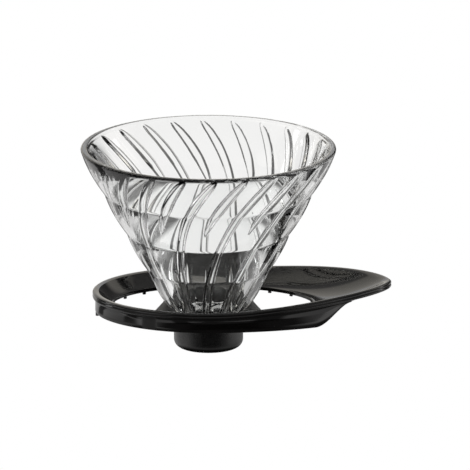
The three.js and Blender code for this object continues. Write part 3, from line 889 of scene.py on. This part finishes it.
def cylinder(name, section):
    """A turned solid from a section of (radius, height) pairs, closed with a flat face at each end."""
    angles = full_turn(CUT_COLUMNS)
    rings = [polar_ring(radius, height, angles) for radius, height in section]
    points = np.concatenate(rings)
    faces = facing_out(points, ring_faces(len(rings), CUT_COLUMNS, closed=False))
    first = tuple(range(CUT_COLUMNS))
    last = tuple(range(len(points) - CUT_COLUMNS, len(points)))
    bottom_up = section[0][1] < section[-1][1]
    caps = [first[::-1], last] if bottom_up else [first, last[::-1]]
    return object_from(name, points, faces + caps)


def web_outline():
    """The web seen from above, flared towards the front."""
    side = np.linspace(-PLATE_HALF_DEPTH, PLATE_HALF_DEPTH, WEB_POINTS)
    right = [(float(np.interp(y, WEB_PLACES, WEB_HALF_WIDTHS)), y) for y in side]
    left = [(-x, y) for x, y in right]
    return right + left[::-1]


def pairs_of(outline):
    x, y = outline
    return list(zip(x.tolist(), y.tolist()))


def make_skirt_frame():
    """The skirt, the web and the hub as one piece, with the socket for the glass cut out of it."""
    made = object_from("holder_frame", *skirt_wall())
    mid_skirt = pairs_of(plate_outline(full_turn(PLATE_COLUMNS), SKIRT_INSET + SKIRT_THICKNESS / 2))
    within_hole = pairs_of(hole_outline(full_turn(CUT_COLUMNS), WEB_CLEARANCE))
    slab = object_from("slab", *prism(web_outline(), SKIRT_BOTTOM_Z + WEB_LOW_LIFT, WEB_UNDER_PLATE_Z))
    middle = object_from("middle", *prism(
        mid_skirt, SKIRT_BOTTOM_Z - CUT_OVERSHOOT, WEB_UNDER_PLATE_Z + CUT_OVERSHOOT))
    combine(slab, middle, "INTERSECT")
    raised = object_from("raised", *prism(web_outline(), SKIRT_BOTTOM_Z + WEB_HIGH_LIFT, WEB_TOP_Z))
    inner = object_from("inner", *prism(within_hole, SKIRT_BOTTOM_Z, WEB_TOP_Z + CUT_OVERSHOOT))
    combine(raised, inner, "INTERSECT")
    hub = cylinder("hub", [(HUB_RADIUS - HUB_EDGE, HUB_BOTTOM_Z), (HUB_RADIUS, HUB_BOTTOM_Z + HUB_EDGE),
                           (HUB_RADIUS, WEB_UNDER_PLATE_Z)])
    bowl = [(bowl_radius(depth) + GAP, TOTAL_HEIGHT - depth - GAP) for depth in bowl_depths(SOCKET_RINGS)]
    bowl = [pair for pair in bowl if pair[0] > HUB_HOLE_RADIUS]
    socket = cylinder("socket", [(HUB_HOLE_RADIUS, HUB_BOTTOM_Z - CUT_OVERSHOOT),
                                 (HUB_HOLE_RADIUS, SHOULDER_Z - GAP)] + bowl)
    foot_x = -(PLATE_LEFT - SKIRT_INSET - SKIRT_THICKNESS * 0.5)
    foot_height = FOOT_DROP + FOOT_BURY
    foot = block("foot", (SKIRT_THICKNESS * FOOT_SHARE, FOOT_WIDTH, foot_height),
                 (foot_x, 0, SKIRT_BOTTOM_Z - FOOT_DROP + foot_height / 2))
    for tool in (slab, raised, hub, foot):
        combine(made, tool, "UNION")
    combine(made, socket, "DIFFERENCE")
    bevel = made.modifiers.new("edges", "BEVEL")
    bevel.width = EDGE_WIDTH * MM
    bevel.segments = EDGE_SEGMENTS
    bevel.limit_method = "ANGLE"
    bevel.angle_limit = math.radians(EDGE_ANGLE)
    apply_modifiers(made)
    return made


def smooth_by_angle(piece):
    """Shades the piece smooth, but marks its sharper edges so that flat faces stay flat."""
    mesh = piece.data
    mesh.polygons.foreach_set("use_smooth", [True] * len(mesh.polygons))
    mesh.set_sharp_from_angle(angle=math.radians(SMOOTH_ANGLE))


# ---------------------------------------------------------------- materials

def speckle(tree, scale, detail):
    """A noise value of 0 to 1 over the piece; scale is in cycles per metre."""
    place = tree.nodes.new("ShaderNodeTexCoord")
    noise = tree.nodes.new("ShaderNodeTexNoise")
    noise.inputs["Scale"].default_value = scale
    noise.inputs["Detail"].default_value = detail
    tree.links.new(place.outputs["Object"], noise.inputs["Vector"])
    return noise.outputs[0]


def varied_level(tree, scale, detail, low, high):
    """A level that wanders between two values with its own noise."""
    return map_range(tree, speckle(tree, scale, detail), (NOISE_LOW, NOISE_HIGH), low, high)


def vary_colour(tree, socket, scale, detail, first, second):
    """Lets a colour wander between two values with its own noise."""
    mix = tree.nodes.new("ShaderNodeMix")
    mix.data_type = "RGBA"
    tree.links.new(varied_level(tree, scale, detail, 0.0, 1.0), mix.inputs[0])
    mix.inputs[6].default_value = (*first, 1)
    mix.inputs[7].default_value = (*second, 1)
    tree.links.new(mix.outputs[2], socket)


def add_bumps(tree, shader, layers):
    """Stacks bumps, each with its noise's scale and detail, its height in metres and its strength."""
    normal = None
    for scale, detail, height, strength in layers:
        bump = tree.nodes.new("ShaderNodeBump")
        bump.inputs["Distance"].default_value = height
        bump.inputs["Strength"].default_value = strength
        tree.links.new(speckle(tree, scale, detail), bump.inputs["Height"])
        if normal is not None:
            tree.links.new(normal, bump.inputs["Normal"])
        normal = bump.outputs[0]
    tree.links.new(normal, shader.inputs["Normal"])


def surface_material(name, look, dull_web=False):
    """A glass or plastic material whose colour, roughness and bump come from noise."""
    material, tree = new_material(name)
    shader = tree.nodes["Principled BSDF"]
    shader.inputs["IOR"].default_value = look["ior"]
    shader.inputs["Transmission Weight"].default_value = look["transmission"]
    vary_colour(tree, shader.inputs["Base Color"], *look["colour"])
    roughness = varied_level(tree, *look["roughness"])
    if dull_web:
        roughness = math_node(tree, "MAXIMUM", roughness, web_dullness(tree))
    tree.links.new(roughness, shader.inputs["Roughness"])
    add_bumps(tree, shader, look["bumps"])
    return material


def web_dullness(tree):
    """Roughness of the unpolished middle of the frame, and 0 outside it."""
    x, y, _ = place_sockets(tree, "Object")
    aside = math_node(tree, "ABSOLUTE", math_node(tree, "SUBTRACT", x, float(AXIS_X) * MM))
    forward = math_node(tree, "ABSOLUTE", y)
    return math_node(tree, "MULTIPLY",
                     map_range(tree, aside, WEB_DULL_SIDE, WEB_DULLNESS, 0.0),
                     map_range(tree, forward, WEB_DULL_DEPTH, 1.0, 0.0))


def finish_piece(piece, body, node, slot, material_name, dull_web=False):
    """Gives a piece its material and tells the frame what it is."""
    piece.data.materials.clear()
    piece.data.materials.append(surface_material(material_name, LOOKS[slot], dull_web))
    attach(piece, body)
    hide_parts(node)


make_camera()
make_studio()

glass = grid_object("glass_wall", glass_rings())
finish_piece(glass, "holder", "glass_cone", "clear_glass", "clear_glass")
plate = make_plate()
smooth_by_angle(plate)
finish_piece(plate, "holder", "handle_plate", "gloss_black", "plate_black")
holder_frame = make_skirt_frame()
smooth_by_angle(holder_frame)
finish_piece(holder_frame, "holder", "skirt_frame", "gloss_black", "frame_black", dull_web=True)
seal = grid_object("soft_ring", seal_rings())
finish_piece(seal, "seal", "seal_ring", "seal_rubber", "seal_rubber")
nut = grid_object("round_nut", nut_rings())
finish_piece(nut, "nut", "clamp_nut", "satin_black", "satin_black")
